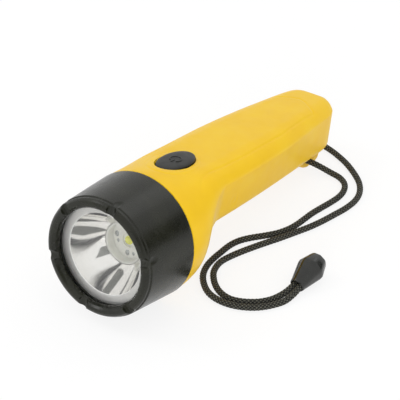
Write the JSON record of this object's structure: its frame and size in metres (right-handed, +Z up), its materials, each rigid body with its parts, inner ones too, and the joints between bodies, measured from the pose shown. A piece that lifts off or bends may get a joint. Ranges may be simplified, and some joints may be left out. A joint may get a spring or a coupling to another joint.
{
  "type": "floating flashlight",
  "caption": "Yellow floating hand light with a screw-on black head, an offset handle, an oval button on top and a wrist cord through a lug under the tail.",
  "frame": {"origin": "on the floor, under the middle of the light's bounding box, measured without its wrist cord", "axes": "+Z up as the light lies on its head's edge and its tail foot, the beam towards -Y and a little up, the tail towards +Y, the cord's loop towards +X"},
  "size_m": [0.0997, 0.1947, 0.0637],
  "materials": {
    "yellow_abs": "satin moulded plastic, fine texture",
    "black_abs": "satin moulded plastic",
    "black_rubber": "matt moulded rubber",
    "clear_polycarbonate": "clear polished plastic",
    "mirror_coat": "vacuum-coated mirror on plastic",
    "white_board": "white solder mask",
    "phosphor": "clear dome over yellow phosphor",
    "white_nylon": "moulded nylon",
    "aluminium": "turned aluminium",
    "green_board": "green solder mask",
    "brass": "plated sheet",
    "steel": "plated spring wire and screws",
    "cell_wrap": "printed foil wrap",
    "black_braid": "braided polyester cord"
  },
  "bodies": {
    "body": {"body_shell": "yellow_abs", "neck_o_ring": "black_rubber", "button_retainer": "black_abs", "button_spring": "steel", "switch_housing": "black_abs", "switch_front_strip": "brass", "switch_rear_strip": "brass", "switch_screw_1": "steel", "switch_screw_2": "steel", "battery_carrier": "black_abs", "cell_1": "cell_wrap", "cell_2": "cell_wrap", "cell_3": "cell_wrap", "cell_4": "cell_wrap", "front_plus_plate": "brass", "front_minus_plate": "brass", "rear_link_plate": "brass", "cell_spring_front": "steel", "cell_spring_rear": "steel", "carrier_plus_spring": "steel", "carrier_minus_spring": "steel", "lanyard_near": "black_braid", "lanyard_far": "black_braid", "lanyard_bight": "black_braid", "cord_end": "black_rubber"},
    "light_unit": {"lens": "clear_polycarbonate", "lens_gasket": "black_rubber", "reflector": "mirror_coat", "led_spacer": "white_nylon", "led_board": "white_board", "led_ring": "white_nylon", "led_emitter": "phosphor", "heat_sink": "aluminium", "module_housing": "black_abs", "driver_board": "green_board", "module_screw_1": "steel", "module_screw_2": "steel", "module_plus_contact": "brass", "module_minus_contact": "brass", "module_ring_contact": "brass"},
    "bezel": {"bezel_ring": "black_abs"},
    "button": {"button_cap": "black_rubber", "switch_plunger": "white_nylon"}
  },
  "joints": [
    {"name": "bezel_turn", "type": "hinge", "parent": "light_unit", "child": "bezel", "pos_m": [0, -0.05797, 0.0306], "axis": [0, -0.9899, 0.1414], "range_deg": [0, 540]},
    {"name": "head_slide", "type": "slide", "parent": "body", "child": "light_unit", "axis": [0, -0.9899, 0.1414], "range_m": [0, 0.006]},
    {"name": "button_press", "type": "slide", "parent": "body", "child": "button", "axis": [0, -0.1414, -0.9899], "range_m": [0, 0.0012], "stiffness_N_per_m": 800, "deforming": ["button_spring"]}
  ],
  "couplings": [
    {"joint": "bezel_turn", "follows": "head_slide", "rad_per_m": 1570.8}
  ]
}
